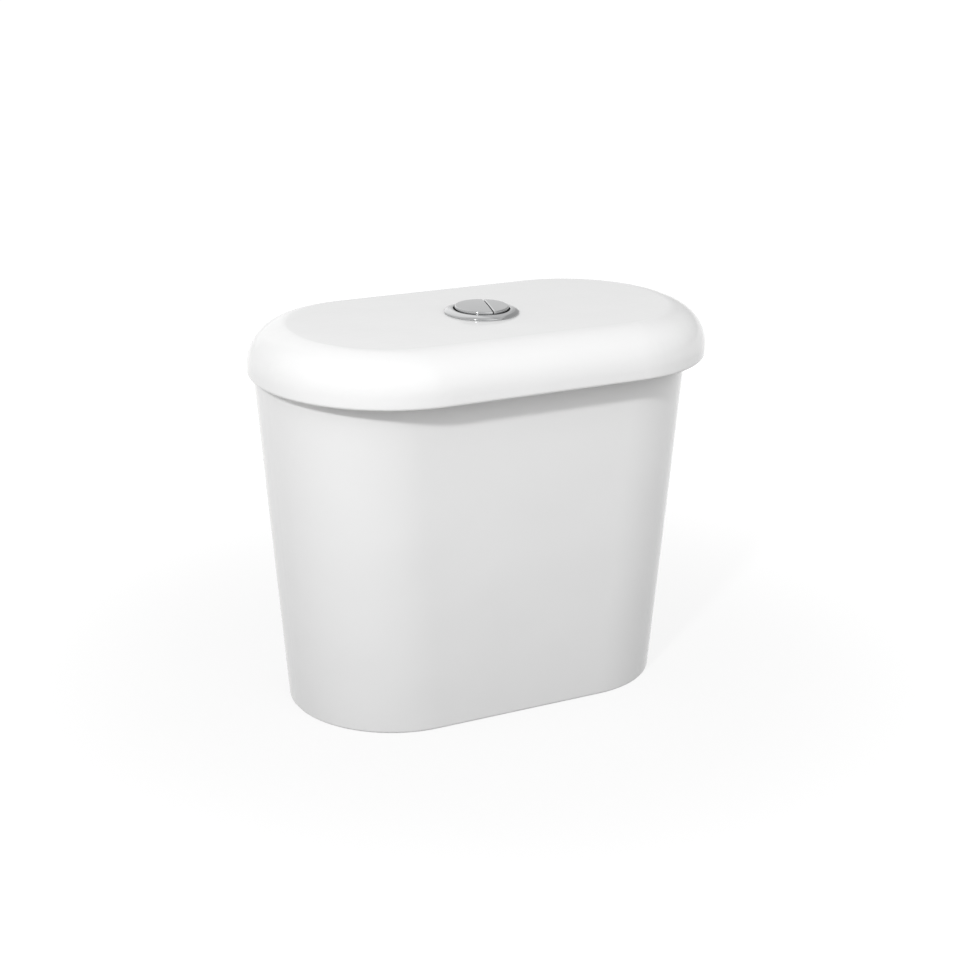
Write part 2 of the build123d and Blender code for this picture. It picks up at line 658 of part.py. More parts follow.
def make_retainer():
    """The ring that holds the seal up against the foot."""
    low, bevel = SEAL_Z - RETAINER_HEIGHT, OVERFLOW_WALL
    bore, outer = OVERFLOW_D / 2 + FIT_GAP, RETAINER_D / 2
    return turned([(bore, low), (outer - bevel, low), (outer, low + bevel), (outer, SEAL_Z), (bore, SEAL_Z)])


def make_piston_float():
    """The closed ring float that keeps the piston up while the tank empties."""
    return ring(PISTON_FLOAT_D, OVERFLOW_D + 2 * FIT_GAP, FLOAT_Z, FLOAT_Z + PISTON_FLOAT_HEIGHT)


def hook_levels():
    """The underside of each hook: the full side touches its lever, the half side stands free."""
    tip_top = TIP_REST_Z + LEVER_TIP_R
    return {-1: tip_top + HOOK_GAP, 1: tip_top + PISTON_TRAVEL + HOOK_FREE_GAP}


def make_lift_frame():
    """The frame on the tube, with a tall strap on each side for the hooks."""
    top = FRAME_BAR_Z + FRAME_BAR_HEIGHT
    half, outside = FRAME_WIDTH / 2, STRAP_X + FRAME_STRAP
    body = block(-outside, outside, -half, half, FRAME_BAR_Z, top) + disc(FRAME_HUB_D, FRAME_BAR_Z, top)
    half = FRAME_STRAP_WIDTH / 2
    for side, hook_z in hook_levels().items():
        low, high = sorted((side * STRAP_X, side * outside))
        body = body + block(low, high, -half, half, FRAME_BAR_Z, hook_z + HOOK_HEIGHT + FRAME_STRAP_PAST)
    return body - disc(OVERFLOW_D + 2 * FIT_GAP, FRAME_BAR_Z - CUT, top + CUT)


def make_lift_hooks():
    """The two hooks that clip on the straps, over the ends of the levers."""
    hooks = []
    half, slot = FRAME_WIDTH / 2, FRAME_STRAP_WIDTH / 2 + FIT_GAP
    for side, hook_z in hook_levels().items():
        low, high = sorted((side * (TIP_REST_X - HOOK_PAST), side * (STRAP_X + FRAME_STRAP + HOOK_WALL)))
        hook = block(low, high, -half, half, hook_z, hook_z + HOOK_HEIGHT)
        low, high = sorted((side * (STRAP_X - FIT_GAP), side * (STRAP_X + FRAME_STRAP + FIT_GAP)))
        hooks.append(hook - block(low, high, -slot, slot, hook_z - CUT, hook_z + HOOK_HEIGHT + CUT))
    return Compound(hooks)


# Fill valve

def make_shank():
    """The brass shank through the floor, with its flange and the spigot of the riser."""
    bore = SHANK_BORE_D / 2
    low = TANK_RECESS_HEIGHT - SHANK_BELOW
    outer, relief = SHANK_D / 2, SHANK_D / 2 - SHANK_RELIEF
    high = TANK_RECESS_HEIGHT - INLET_NUT_HEIGHT - SHANK_RELIEF_DROP
    step = high - SHANK_RELIEF_WIDTH
    outline = [(bore, low), (outer, low), (outer, step), (relief, step)]
    outline += [(relief, high), (outer, high), (outer, SHANK_Z), (SHANK_FLANGE_D / 2, SHANK_Z)]
    outline += [(SHANK_FLANGE_D / 2, RISER_Z), (SHANK_SPIGOT_D / 2, RISER_Z)]
    outline += [(SHANK_SPIGOT_D / 2, RISER_Z + SHANK_SPIGOT), (bore, RISER_Z + SHANK_SPIGOT)]
    return turned(outline, FILL_X, FILL_Y)


def make_cone_washer():
    """The rubber washer between the shank's flange and the floor."""
    bore, outer = SHANK_D / 2 + FIT_GAP, CONE_WASHER_D / 2
    bevel = CONE_WASHER_CHAMFER
    outline = [(bore, FLOOR_Z), (outer, FLOOR_Z), (outer, SHANK_Z - bevel)]
    outline += [(outer - bevel, SHANK_Z), (bore, SHANK_Z)]
    return turned(outline, FILL_X, FILL_Y)


def make_inlet_nut():
    """The hexagon nut under the floor."""
    low = TANK_RECESS_HEIGHT - INLET_NUT_HEIGHT
    return Pos(FILL_X, FILL_Y, 0) * nut(INLET_NUT_FLATS, INLET_NUT_SIDES, SHANK_D, low, INLET_NUT_HEIGHT)


def make_strainer():
    """The small cup strainer in the mouth of the shank."""
    low = TANK_RECESS_HEIGHT - SHANK_BELOW
    outer = SHANK_BORE_D / 2 - FIT_GAP
    bore, top = outer - STRAINER_WALL, low + STRAINER_HEIGHT
    rim = STRAINER_RIM_D / 2
    outline = [(bore, low - STRAINER_RIM), (rim, low - STRAINER_RIM), (rim, low)]
    outline += [(outer, low), (outer, top), (0, top), (0, top - STRAINER_WALL), (bore, top - STRAINER_WALL)]
    return turned(outline, FILL_X, FILL_Y)


def make_riser():
    """The riser tube between the shank and the valve head."""
    return ring(RISER_D, RISER_D - 2 * RISER_WALL, RISER_Z, HEAD_Z + HEAD_SOCKET, FILL_X, FILL_Y)


def make_head():
    """The valve head on the riser, with the nipple for the refill hose."""
    neck, outer = HEAD_NECK_D / 2, HEAD_D / 2
    socket, bore = RISER_D / 2 + FIT_GAP, RISER_D / 2 - RISER_WALL
    step = HEAD_Z + HEAD_SOCKET
    outline = [(socket, HEAD_Z), (neck, HEAD_Z), (neck, step), (outer, step + outer - neck)]
    outline += [(outer, HEAD_TOP_Z), (bore, HEAD_TOP_Z), (bore, step), (socket, step)]
    body = turned(outline)
    nipple_z = HEAD_Z + NIPPLE_RISE + NIPPLE_D / 2
    reach = HEAD_D / 2 + NIPPLE_LENGTH
    along = Pos(-reach, 0, nipple_z) * Rot(0, 90, 0)
    body = body + along * extrude(Circle(NIPPLE_D / 2), NIPPLE_LENGTH + HEAD_D / 2 - neck + RISER_WALL)
    body = body - along * extrude(Circle(NIPPLE_BORE_D / 2), reach)
    return Pos(FILL_X, FILL_Y, 0) * body


def make_diaphragm():
    """The rubber diaphragm under the cap."""
    return disc(DIAPHRAGM_D, HEAD_TOP_Z, HEAD_TOP_Z + DIAPHRAGM, FILL_X, FILL_Y)


def make_cap():
    """The twelve-sided cap of the valve head, with the ears of the float lever."""
    body = Pos(0, 0, HEAD_TOP_Z) * extrude(RegularPolygon(CAP_D / 2, CAP_SIDES), CAP_HEIGHT)
    body = body - disc(DIAPHRAGM_D + 2 * FIT_GAP, HEAD_TOP_Z - CUT, HEAD_TOP_Z + DIAPHRAGM)
    x = FILL_PIVOT_X - FILL_X
    near = FILL_LEVER_WIDTH / 2 + LEVER_SIDE_GAP
    far = near + FILL_EAR_THICKNESS
    for face in (-1, 1):
        body = body + ear(x, FILL_PIVOT_Z, FILL_EAR_R, face * near, face * far, CAP_TOP_Z)
    body = body - bar_along_y(FILL_PIN_D + 2 * FIT_GAP, x, FILL_PIVOT_Z, -far - CUT, far + CUT)
    tail_drop = FILL_LEVER_TAIL * CUP_TRAVEL / 2 / FILL_LEVER_ARM
    pilot_top = FILL_PIVOT_Z - tail_drop - FILL_LEVER_TIP_R - PILOT_GAP
    body = body + disc(PILOT_D, CAP_TOP_Z, pilot_top, x - FILL_LEVER_TAIL)
    return Pos(FILL_X, FILL_Y, 0) * body


def make_fill_pin():
    """The pin of the float lever."""
    half = FILL_LEVER_WIDTH / 2 + LEVER_SIDE_GAP + FILL_EAR_THICKNESS + FILL_PIN_END
    return Pos(0, FILL_Y, 0) * pivot_pin(FILL_PIN_D, FILL_PIVOT_X, FILL_PIVOT_Z, half)


def make_fill_lever():
    """The float lever, with a slot for the link rod and a tail over the cap."""
    arms = (FILL_LEVER_ARM, -FILL_LEVER_TAIL)
    lever = rocker(arms, FILL_LEVER_HUB_R, FILL_LEVER_TIP_R, FILL_LEVER_WIDTH, FILL_PIN_D)
    slot = SlotOverall(FILL_SLOT_LENGTH, FILL_SLOT_WIDTH)
    end = Pos(FILL_LEVER_ARM, 0, 0) * extrude(slot, 2 * FILL_LEVER_HUB_R, both=True)
    eye = Pos(FILL_LEVER_ARM, 0, -FILL_LEVER_TIP_R)
    plan = SlotOverall(FILL_SLOT_LENGTH + FILL_SLOT_WIDTH, FILL_LEVER_WIDTH)
    pad = eye * extrude(plan, 2 * FILL_LEVER_TIP_R)
    lever = lever + pad - end
    return Pos(FILL_PIVOT_X, FILL_Y, FILL_PIVOT_Z) * Rot(0, FILL_TILT, 0) * lever


def make_float_cup():
    """The float: an upturned cup round the riser, with a guide tube in its middle."""
    outer = CUP_D / 2
    guide = RISER_D / 2 + CUP_BORE_GAP
    low, roof = CUP_TOP_Z - CUP_HEIGHT, CUP_TOP_Z - CUP_TOP
    outline = [(guide, low), (guide + CUP_GUIDE_WALL, low), (guide + CUP_GUIDE_WALL, roof)]
    outline += [(outer - CUP_WALL, roof), (outer - CUP_WALL, low), (outer, low)]
    outline += [(outer, CUP_TOP_Z - CUP_EDGE_R), (outer - CUP_EDGE_R, CUP_TOP_Z), (guide, CUP_TOP_Z)]
    cup = turned(outline, FILL_X, FILL_Y)
    return cup - disc(LINK_D + 2 * FIT_GAP, roof - CUT, CUP_TOP_Z + CUT, FILL_X + LINK_X, FILL_Y)


def make_link_rod():
    """The link rod from the float up through the lever's slot."""
    x, y = FILL_X + LINK_X, FILL_Y
    lever_z = FILL_PIVOT_Z - CUP_TRAVEL / 2
    head_z = lever_z + FILL_LEVER_TIP_R + LINK_HEAD_GAP
    rod = disc(LINK_D, CUP_TOP_Z - LINK_BELOW, head_z, x, y)
    return rod + disc(LINK_HEAD_D, head_z, head_z + LINK_HEAD, x, y)


def make_adjuster():
    """The clip on the link rod that sets the float's height."""
    x, y = FILL_X + LINK_X, FILL_Y
    return ring(ADJUSTER_D, LINK_D + 2 * FIT_GAP, CUP_TOP_Z, CUP_TOP_Z + ADJUSTER_HEIGHT, x, y)


# Refill hose

def arc_radii(points):
    """The radius of each corner of a route, as large as its two runs allow."""
    radii = []
    for before, corner, after in zip(points, points[1:], points[2:]):
        run_in, run_out = Vector(*corner) - Vector(*before), Vector(*after) - Vector(*corner)
        turn = math.radians(run_in.get_angle(run_out))
        radii.append(HOSE_ARC_SHARE * min(run_in.length, run_out.length) / math.tan(turn / 2))
    return radii


def hose_route():
    """The points of the hose from the nipple to the mouth of the overflow tube."""
    start_x = FILL_X - HEAD_D / 2 - FIT_GAP
    low_z = HEAD_Z + NIPPLE_RISE + NIPPLE_D / 2
    high_z = PLATE_Z + HOSE_RISE
    first_x = STRAP_X + (start_x - STRAP_X) / 2
    second_x = STRAP_X - HOSE_D
    end_z = PLATE_Z - TOWER_PLATE + HOSE_END_LIFT
    flat = [(start_x, low_z), (first_x, low_z), (second_x, high_z), (0, high_z), (0, end_z)]
    return [(x, HOSE_Y, z) for x, z in flat]


def make_hose():
    """The refill hose, with the nipple's bore at its start."""
    points = hose_route()
    radii = arc_radii(points)
    print("hose radii", [round(r, 1) for r in radii])
    path = FilletPolyline(*points, radius=radii)
    start = Plane(path @ 0, z_dir=path % 0)
    section = start * RegularPolygon(HOSE_D / 2, HOSE_SIDES)
    tube = sweep(section, path=path)
    filled = tube.volume / (section.area * path.length)
    print("hose length", round(path.length, 1), "volume share", round(filled, 4))
    bore = extrude(Circle(NIPPLE_D / 2 + FIT_GAP), NIPPLE_LENGTH + FIT_GAP)
    nipple = Pos(*points[0]) * Rot(0, -90, 0) * bore
    return tube - nipple


def make_hose_clip():
    """The clip on the tower's plate that holds the hose over the overflow tube."""
    ring_d = HOSE_D + 2 * FIT_GAP + 2 * CLIP_RING_WALL
    low = PLATE_Z + CLIP_RING_LIFT
    back = TOWER_PLATE_HOLE_D / 2 + CLIP_POST_DEPTH
    half = CLIP_POST_WIDTH / 2
    body = disc(ring_d, low, low + CLIP_RING_HEIGHT, 0, HOSE_Y)
    body = body + block(-half, half, HOSE_Y, back, low, low + CLIP_RING_HEIGHT)
    body = body + block(-half, half, back - CLIP_POST_DEPTH, back, PLATE_Z, low + CLIP_RING_HEIGHT)
    foot = back + CLIP_FOOT_DEPTH
    body = body + block(-half, half, back - CLIP_POST_DEPTH, foot, PLATE_Z, PLATE_Z + CLIP_FOOT)
    return body - disc(HOSE_D + 2 * FIT_GAP, low - CUT, low + CLIP_RING_HEIGHT + CUT, 0, HOSE_Y)


save("tank", make_tank())
save("lid", make_lid())
save("lid_buffers", make_buffers())
save("button_rosette", make_rosette())
save("button_barrel", make_barrel())
save("barrel_washer", make_barrel_washer())
save("barrel_lock_nut", make_barrel_nut())
save("full_flush_button", make_button(True))
save("half_flush_button", make_button(False))
save("full_push_rod", make_rod(-ROD_X))
save("half_push_rod", make_rod(ROD_X))
save("full_button_spring", make_spring(-ROD_X))
save("half_button_spring", make_spring(ROD_X))
save("flush_valve_base", make_valve_base())
save("flush_base_washer", make_base_washer())
save("flush_back_nut", make_back_nut())
save("coupling_gasket", make_coupling_gasket())
save("flush_valve_cage", make_cage())
save("lever_tower", make_tower())
save("flush_lever_pins", make_lever_pins())
save("full_flush_lever", make_flush_lever(-1))
save("half_flush_lever", make_flush_lever(1))
save("overflow_tube", make_overflow_tube())
save("flush_seal", make_flush_seal())
save("seal_retainer", make_retainer())
save("piston_float", make_piston_float())
save("lift_frame", make_lift_frame())
save("lift_hooks", make_lift_hooks())
save("inlet_shank", make_shank())
save("inlet_cone_washer", make_cone_washer())
save("inlet_back_nut", make_inlet_nut())
save("inlet_strainer", make_strainer())
save("fill_riser", make_riser())
save("fill_valve_head", make_head())
save("fill_diaphragm", make_diaphragm())
save("fill_valve_cap", make_cap())
save("fill_lever_pin", make_fill_pin())
save("fill_lever", make_fill_lever())
save("float_cup", make_float_cup())
save("float_link_rod", make_link_rod())
save("float_adjuster", make_adjuster())
save("refill_hose", make_hose())
save("refill_hose_clip", make_hose_clip())
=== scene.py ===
import json
import math

import bmesh
import bpy
from mathutils import Matrix, Vector


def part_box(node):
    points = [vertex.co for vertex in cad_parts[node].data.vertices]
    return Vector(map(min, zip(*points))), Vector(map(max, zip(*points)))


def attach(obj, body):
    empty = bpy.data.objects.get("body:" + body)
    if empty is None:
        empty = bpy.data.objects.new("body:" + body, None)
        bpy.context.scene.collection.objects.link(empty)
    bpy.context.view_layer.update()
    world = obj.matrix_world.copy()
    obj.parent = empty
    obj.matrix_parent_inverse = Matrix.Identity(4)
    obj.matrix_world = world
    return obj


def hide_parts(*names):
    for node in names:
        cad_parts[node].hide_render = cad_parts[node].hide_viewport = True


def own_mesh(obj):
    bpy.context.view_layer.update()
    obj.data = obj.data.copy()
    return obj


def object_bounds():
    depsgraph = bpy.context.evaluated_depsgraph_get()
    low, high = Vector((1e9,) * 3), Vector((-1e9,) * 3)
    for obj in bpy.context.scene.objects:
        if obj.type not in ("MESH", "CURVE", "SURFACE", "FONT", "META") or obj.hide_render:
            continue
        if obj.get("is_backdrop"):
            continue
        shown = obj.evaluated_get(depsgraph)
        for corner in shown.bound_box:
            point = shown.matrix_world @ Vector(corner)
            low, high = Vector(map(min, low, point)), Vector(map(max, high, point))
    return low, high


# A toilet cistern in white china. Metres, with +Z up and the front towards -Y.
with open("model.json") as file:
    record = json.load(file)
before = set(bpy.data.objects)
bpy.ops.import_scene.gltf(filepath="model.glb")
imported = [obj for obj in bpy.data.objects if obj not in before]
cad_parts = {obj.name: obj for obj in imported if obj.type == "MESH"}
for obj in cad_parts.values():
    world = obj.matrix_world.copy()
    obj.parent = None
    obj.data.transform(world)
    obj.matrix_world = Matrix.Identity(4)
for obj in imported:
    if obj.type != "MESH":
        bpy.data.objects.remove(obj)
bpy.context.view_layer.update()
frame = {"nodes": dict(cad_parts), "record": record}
MM = 0.001

# Camera, solved from the outlines in the photograph
VIEW_AZIMUTH = 28.43
VIEW_ELEVATION = 19.24
VIEW_ROLL = 0.89
VIEW_DISTANCE = 1.7276
VIEW_TARGET = (0, 0, 0.1607)
SENSOR = 36.0
LENS = 77.6
SHIFT = (0.00136, 0.0204)
CLIP = (0.01, 100)


def place_object(name, data):
    """A new object in the scene that shows some data."""
    made = bpy.data.objects.new(name, data)
    bpy.context.scene.collection.objects.link(made)
    return made


def make_camera():
    """The camera at the photograph's place."""
    a, e, roll = (math.radians(v) for v in (VIEW_AZIMUTH, VIEW_ELEVATION, VIEW_ROLL))
    back = Vector((-math.sin(a) * math.cos(e), -math.cos(a) * math.cos(e), math.sin(e)))
    right = Vector((math.cos(a), -math.sin(a), 0))
    up = back.cross(right)
    across = right * math.cos(roll) + up * math.sin(roll)
    upright = up * math.cos(roll) - right * math.sin(roll)
    data = bpy.data.cameras.new("camera")
    data.sensor_width, data.lens = SENSOR, LENS
    data.shift_x, data.shift_y = SHIFT
    data.clip_start, data.clip_end = CLIP
    camera = place_object("camera", data)
    place = Matrix((across, upright, back)).transposed().to_4x4()
    place.translation = Vector(VIEW_TARGET) + back * VIEW_DISTANCE
    camera.matrix_world = place
    bpy.context.scene.camera = camera


# Node graphs. A Mix node's colour sockets go by number, because their names repeat.

MIX_FIRST = 6
MIX_SECOND = 7
MIX_RESULT = 2
EDGE_SAMPLES = 4
NOISE_LOW = 0.3
NOISE_HIGH = 0.7


class Graph:
    """A node tree, with short names for making its nodes and feeding their sockets."""

    def __init__(self, tree):
        self.tree = tree

    def node(self, kind, inputs=None, **settings):
        """A new node with its settings, and a value or a socket for each input that is given."""
        made = self.tree.nodes.new(kind)
        for key, value in settings.items():
            setattr(made, key, value)
        for key, value in (inputs or {}).items():
            self.feed(made.inputs[key], value)
        return made

    def feed(self, socket, value):
        if isinstance(value, bpy.types.NodeSocket):
            self.tree.links.new(value, socket)
        else:
            socket.default_value = value

    def parts(self, vector):
        """The X, Y and Z of a vector."""
        return self.node("ShaderNodeSeparateXYZ", {"Vector": vector}).outputs

    def math(self, operation, *values):
        inputs = dict(enumerate(values))
        return self.node("ShaderNodeMath", inputs, operation=operation).outputs["Value"]

    def spread(self, value, low, high, start=NOISE_LOW, end=NOISE_HIGH, **settings):
        """Maps a value's span from start to end onto low to high, with its ends held."""
        inputs = {"Value": value, "From Min": start, "From Max": end, "To Min": low, "To Max": high}
        return self.node("ShaderNodeMapRange", inputs, **settings).outputs["Result"]

    def mix(self, share, first, second, **settings):
        """Mixes two colours by a share."""
        inputs = {"Factor": share}
        for key, color in ((MIX_FIRST, first), (MIX_SECOND, second)):
            inputs[key] = color if isinstance(color, bpy.types.NodeSocket) else (*color, 1)
        made = self.node("ShaderNodeMix", inputs, data_type="RGBA", **settings)
        return made.outputs[MIX_RESULT]

    def ramp(self, value, stops):
        """A grey level that changes along a value by stops."""
        made = self.node("ShaderNodeValToRGB", {"Fac": value})
        elements = made.color_ramp.elements
        for place, _ in stops[1:-1]:
            elements.new(place)
        for element, (place, level) in zip(elements, stops):
            element.position, element.color = place, (level, level, level, 1)
        return made.outputs["Color"]


class Look(Graph):
    """A material with a Principled shader, and short names for what feeds the shader.
    Noise and cells are counted to the metre."""

    def __init__(self, name, color, roughness, **constants):
        self.material = bpy.data.materials.new(name)
        self.material.use_nodes = True
        super().__init__(self.material.node_tree)
        self.shader = self.tree.nodes["Principled BSDF"]
        self.place = self.node("ShaderNodeTexCoord").outputs["Object"]
        self.color((*color, 1))
        self.roughness(roughness)
        for key, value in constants.items():
            self.shader.inputs[key.replace("_", " ")].default_value = value
        self.material.diffuse_color = (*color, 1)

    def noise(self, count, detail, stretch=None):
        """Noise from about 0 to 1."""
        place = self.place
        if stretch:
            mapping = self.node("ShaderNodeMapping", {"Vector": place, "Scale": stretch})
            place = mapping.outputs["Vector"]
        inputs = {"Vector": place, "Scale": count, "Detail": detail}
        return self.node("ShaderNodeTexNoise", inputs).outputs["Fac"]

    def cells(self, count):
        inputs = {"Vector": self.place, "Scale": count}
        return self.node("ShaderNodeTexVoronoi", inputs).outputs["Distance"]

    def tinted(self, share, color, tints):
        """A colour that goes from its darker to its lighter tint by a share."""
        return self.mix(share, *(shade(color, tint) for tint in tints))

    def color(self, value):
        self.feed(self.shader.inputs["Base Color"], value)

    def roughness(self, value):
        self.feed(self.shader.inputs["Roughness"], value)

    def bump(self, layers, radius):
        """Adds heights, each with its depth in metres, over edges that look rounded by a radius."""
        edges = self.node("ShaderNodeBevel", {"Radius": radius}, samples=EDGE_SAMPLES)
        normal = edges.outputs["Normal"]
        for height, depth in layers:
            inputs = {"Distance": depth, "Height": height, "Normal": normal}
            normal = self.node("ShaderNodeBump", inputs).outputs["Normal"]
        self.feed(self.shader.inputs["Normal"], normal)


def shade(color, factor):
    """A colour made darker or lighter."""
    return tuple(min(1.0, c * factor) for c in color)


# China. A noise is its count, its detail and, for some, its stretch.

GLAZE = (0.87, 0.87, 0.87)
GLAZE_TINTS = (0.985, 1.01)
GLAZE_CLOUDS = (14, 3)
GLAZE_IOR = 1.45
GLAZE_ROUGHNESS = 0.08
GLOSS_PATCHES = (35, 3)
GLOSS_SPAN = (0.07, 0.12)
SPECK = (0.6, 0.57, 0.5)
SPECKS = (900, 2)
SPECK_SPAN = (0.72, 0.78)
SPECK_SHARE = 0.12
BISCUIT = (0.78, 0.76, 0.72)
BISCUIT_TINTS = (0.93, 1.06)
BISCUIT_CLOUDS = (160, 5)
BISCUIT_ROUGHNESS = 0.6
WAVES = (16, 1)
WAVE_DEPTH = 0.0008
RIPPLES = (120, 2)
RIPPLE_DEPTH = 0.00005
GRAIN = (1400, 3)
GRAIN_DEPTH = 0.0001
GLAZED_GRAIN_SHARE = 0.06
CHINA_EDGE = 0.0012
INNER_BELOW = -0.002
DOWN_BELOW = -0.8
RECESS_LEVEL = 0.036
TANK_MIDDLE_Y = 0.01
LID_MIDDLE_Y = 0.0


def china(name, inner_biscuit, middle_y):
    """White glaze over fired clay, bare on the faces that look down and on hidden inner ones.
    Inner biscuit leaves every inner face bare, and otherwise only the foot's recess is."""
    look = Look(name, GLAZE, GLAZE_ROUGHNESS, IOR=GLAZE_IOR)
    facing = look.parts(look.node("ShaderNodeNewGeometry").outputs["Normal"])
    x, y, z = look.parts(look.place)
    out_along_x = look.math("MULTIPLY", facing[0], x)
    out_along_y = look.math("MULTIPLY", facing[1], look.math("SUBTRACT", y, middle_y))
    inner = look.math("LESS_THAN", look.math("ADD", out_along_x, out_along_y), INNER_BELOW)
    if not inner_biscuit:
        inner = look.math("MULTIPLY", inner, look.math("LESS_THAN", z, RECESS_LEVEL))
    bare = look.math("MAXIMUM", inner, look.math("LESS_THAN", facing[2], DOWN_BELOW))
    glazed = look.tinted(look.noise(*GLAZE_CLOUDS), GLAZE, GLAZE_TINTS)
    specks = look.spread(look.noise(*SPECKS), 0, 1, *SPECK_SPAN)
    glazed = look.mix(look.math("MULTIPLY", specks, SPECK_SHARE), glazed, SPECK)
    clay = look.tinted(look.noise(*BISCUIT_CLOUDS), BISCUIT, BISCUIT_TINTS)
    look.color(look.mix(bare, glazed, clay))
    gloss = look.spread(look.noise(*GLOSS_PATCHES), *GLOSS_SPAN)
    look.roughness(look.math("MULTIPLY_ADD", bare, BISCUIT_ROUGHNESS, gloss))
    rough = look.math("MULTIPLY_ADD", bare, 1 - GLAZED_GRAIN_SHARE, GLAZED_GRAIN_SHARE)
    grain = look.math("MULTIPLY", look.noise(*GRAIN), rough)
    layers = [(look.noise(*WAVES), WAVE_DEPTH), (look.noise(*RIPPLES), RIPPLE_DEPTH)]
    look.bump([*layers, (grain, GRAIN_DEPTH)], CHINA_EDGE)
    return look.material


# Plastic

PLASTIC_IOR = 1.5
PLASTIC_ROUGHNESS = 0.38
PLASTIC_TINTS = (0.95, 1.04)
PLASTIC_CLOUDS = (45, 3)
PLASTIC_SCUFFS = (260, 4, (1, 1, 0.2))
PLASTIC_SCUFF_SPAN = (0.55, 0.75)
PLASTIC_SCUFF_ROUGHNESS = 0.06
PLASTIC_DENTS = (70, 2)
PLASTIC_UNEVENNESS = 0.04
PLASTIC_DENT_DEPTH = 0.00002
PLASTIC_GRAIN = (2600, 2)
PLASTIC_GRAIN_DEPTH = 0.00001
PLASTIC_EDGE = 0.0004


def plastic(name, color, roughness=PLASTIC_ROUGHNESS, **constants):
    """Moulded plastic with a fine even texture and slightly uneven colour."""
    look = Look(name, color, roughness, IOR=PLASTIC_IOR, **constants)
    look.color(look.tinted(look.noise(*PLASTIC_CLOUDS), color, PLASTIC_TINTS))
    scuffs = look.noise(*PLASTIC_SCUFFS)
    scuffs = look.spread(scuffs, 0, PLASTIC_SCUFF_ROUGHNESS, *PLASTIC_SCUFF_SPAN)
    dents = look.noise(*PLASTIC_DENTS)
    least, most = roughness - PLASTIC_UNEVENNESS, roughness + PLASTIC_UNEVENNESS
    look.roughness(look.math("ADD", scuffs, look.spread(dents, least, most)))
    grain = look.noise(*PLASTIC_GRAIN)
    look.bump([(dents, PLASTIC_DENT_DEPTH), (grain, PLASTIC_GRAIN_DEPTH)], PLASTIC_EDGE)
    return look.material


# Rubber

RUBBER_IOR = 1.45
RUBBER_SPECULAR = 0.35
RUBBER_ROUGHNESS = 0.7
RUBBER_TINTS = (0.75, 1.35)
RUBBER_CLOUDS = (90, 4)
RUBBER_PATCHES = (120, 3)
RUBBER_PATCH_SPAN = (-0.08, 0.1)
RUBBER_GRAIN = (1500, 3)
RUBBER_GRAIN_DEPTH = 0.00005
SPONGE_POWER = 0.6
SPONGE_DEPTH = 0.0005
RUBBER_EDGE = 0.0004


def rubber(name, color, roughness=RUBBER_ROUGHNESS, cell_count=0):
    """Matt rubber, with open cells if it is sponge."""
    look = Look(name, color, roughness, IOR=RUBBER_IOR, Specular_IOR_Level=RUBBER_SPECULAR)
    look.color(look.tinted(look.noise(*RUBBER_CLOUDS), color, RUBBER_TINTS))
    least, most = (roughness + change for change in RUBBER_PATCH_SPAN)
    look.roughness(look.spread(look.noise(*RUBBER_PATCHES), least, most))
    layers = [(look.noise(*RUBBER_GRAIN), RUBBER_GRAIN_DEPTH)]
    if cell_count:
        layers.append((look.math("POWER", look.cells(cell_count), SPONGE_POWER), SPONGE_DEPTH))
    look.bump(layers, RUBBER_EDGE)
    return look.material


# Metal

METAL_TINTS = (0.96, 1.02)
METAL_LINES = (900, 3)
METAL_SMUDGES = (60, 3)
METAL_EDGE = 0.0003
CHROME_EDGE = 0.0005
EVEN_LINES = (1, 1, 1)
TURNED_LINES = (0.05, 0.05, 3)
DRAWN_LINES = (1, 1, 0.05)


def metal(name, color, roughness, wear, depth, stretch=EVEN_LINES, edge=METAL_EDGE):
    """Metal with fine lines and light wear."""
    look = Look(name, color, roughness, Metallic=1.0)
    lines = look.noise(*METAL_LINES, stretch)
    smudge = look.noise(*METAL_SMUDGES)
    look.color(look.tinted(smudge, color, METAL_TINTS))
    worn = look.spread(smudge, roughness - wear, roughness + wear)
    look.roughness(look.math("ADD", look.spread(lines, 0, wear), worn))
    look.bump([(lines, depth)], edge)
    return look.material


# The material of each slot

CHROME = (0.52, 0.525, 0.53)
BRASS = (0.75, 0.58, 0.3)
STEEL = (0.62, 0.62, 0.63)
WHITE = (0.8, 0.81, 0.81)
GREY = (0.45, 0.47, 0.49)
BLUE = (0.1, 0.28, 0.55)
CLEAR = (0.72, 0.76, 0.78)
BLACK = (0.03, 0.03, 0.03)
SPONGE = (0.085, 0.085, 0.09)
looks = {
    "china": china("china_tank", False, TANK_MIDDLE_Y),
    "china_lid": china("china_lid", True, LID_MIDDLE_Y),
    "chrome": metal("chrome_plate", CHROME, roughness=0.07, wear=0.02, depth=0.000002, edge=CHROME_EDGE),
    "white_plastic": plastic("white_plastic", WHITE),
    "grey_plastic": plastic("grey_plastic", GREY, roughness=0.42),
    "blue_plastic": plastic("blue_plastic", BLUE, roughness=0.36),
    "black_rubber": rubber("black_rubber", BLACK),
    "sponge_rubber": rubber("sponge_rubber", SPONGE, roughness=0.9, cell_count=420),
    "clear_hose": plastic("clear_hose", CLEAR, roughness=0.34, Transmission_Weight=0.35),
    "brass": metal("turned_brass", BRASS, roughness=0.24, wear=0.07, depth=0.00001, stretch=TURNED_LINES),
    "steel": metal("drawn_steel", STEEL, roughness=0.28, wear=0.08, depth=0.000008, stretch=DRAWN_LINES),
}

# CAD solids that stay. From here on, sizes are in millimetres, as in the CAD.

EDGE_ROUNDING = {"tank": 1.6, "lid": 1.0}
EDGE_SEGMENTS = 4
SHARP_ANGLE = 40
WELD = 0.01


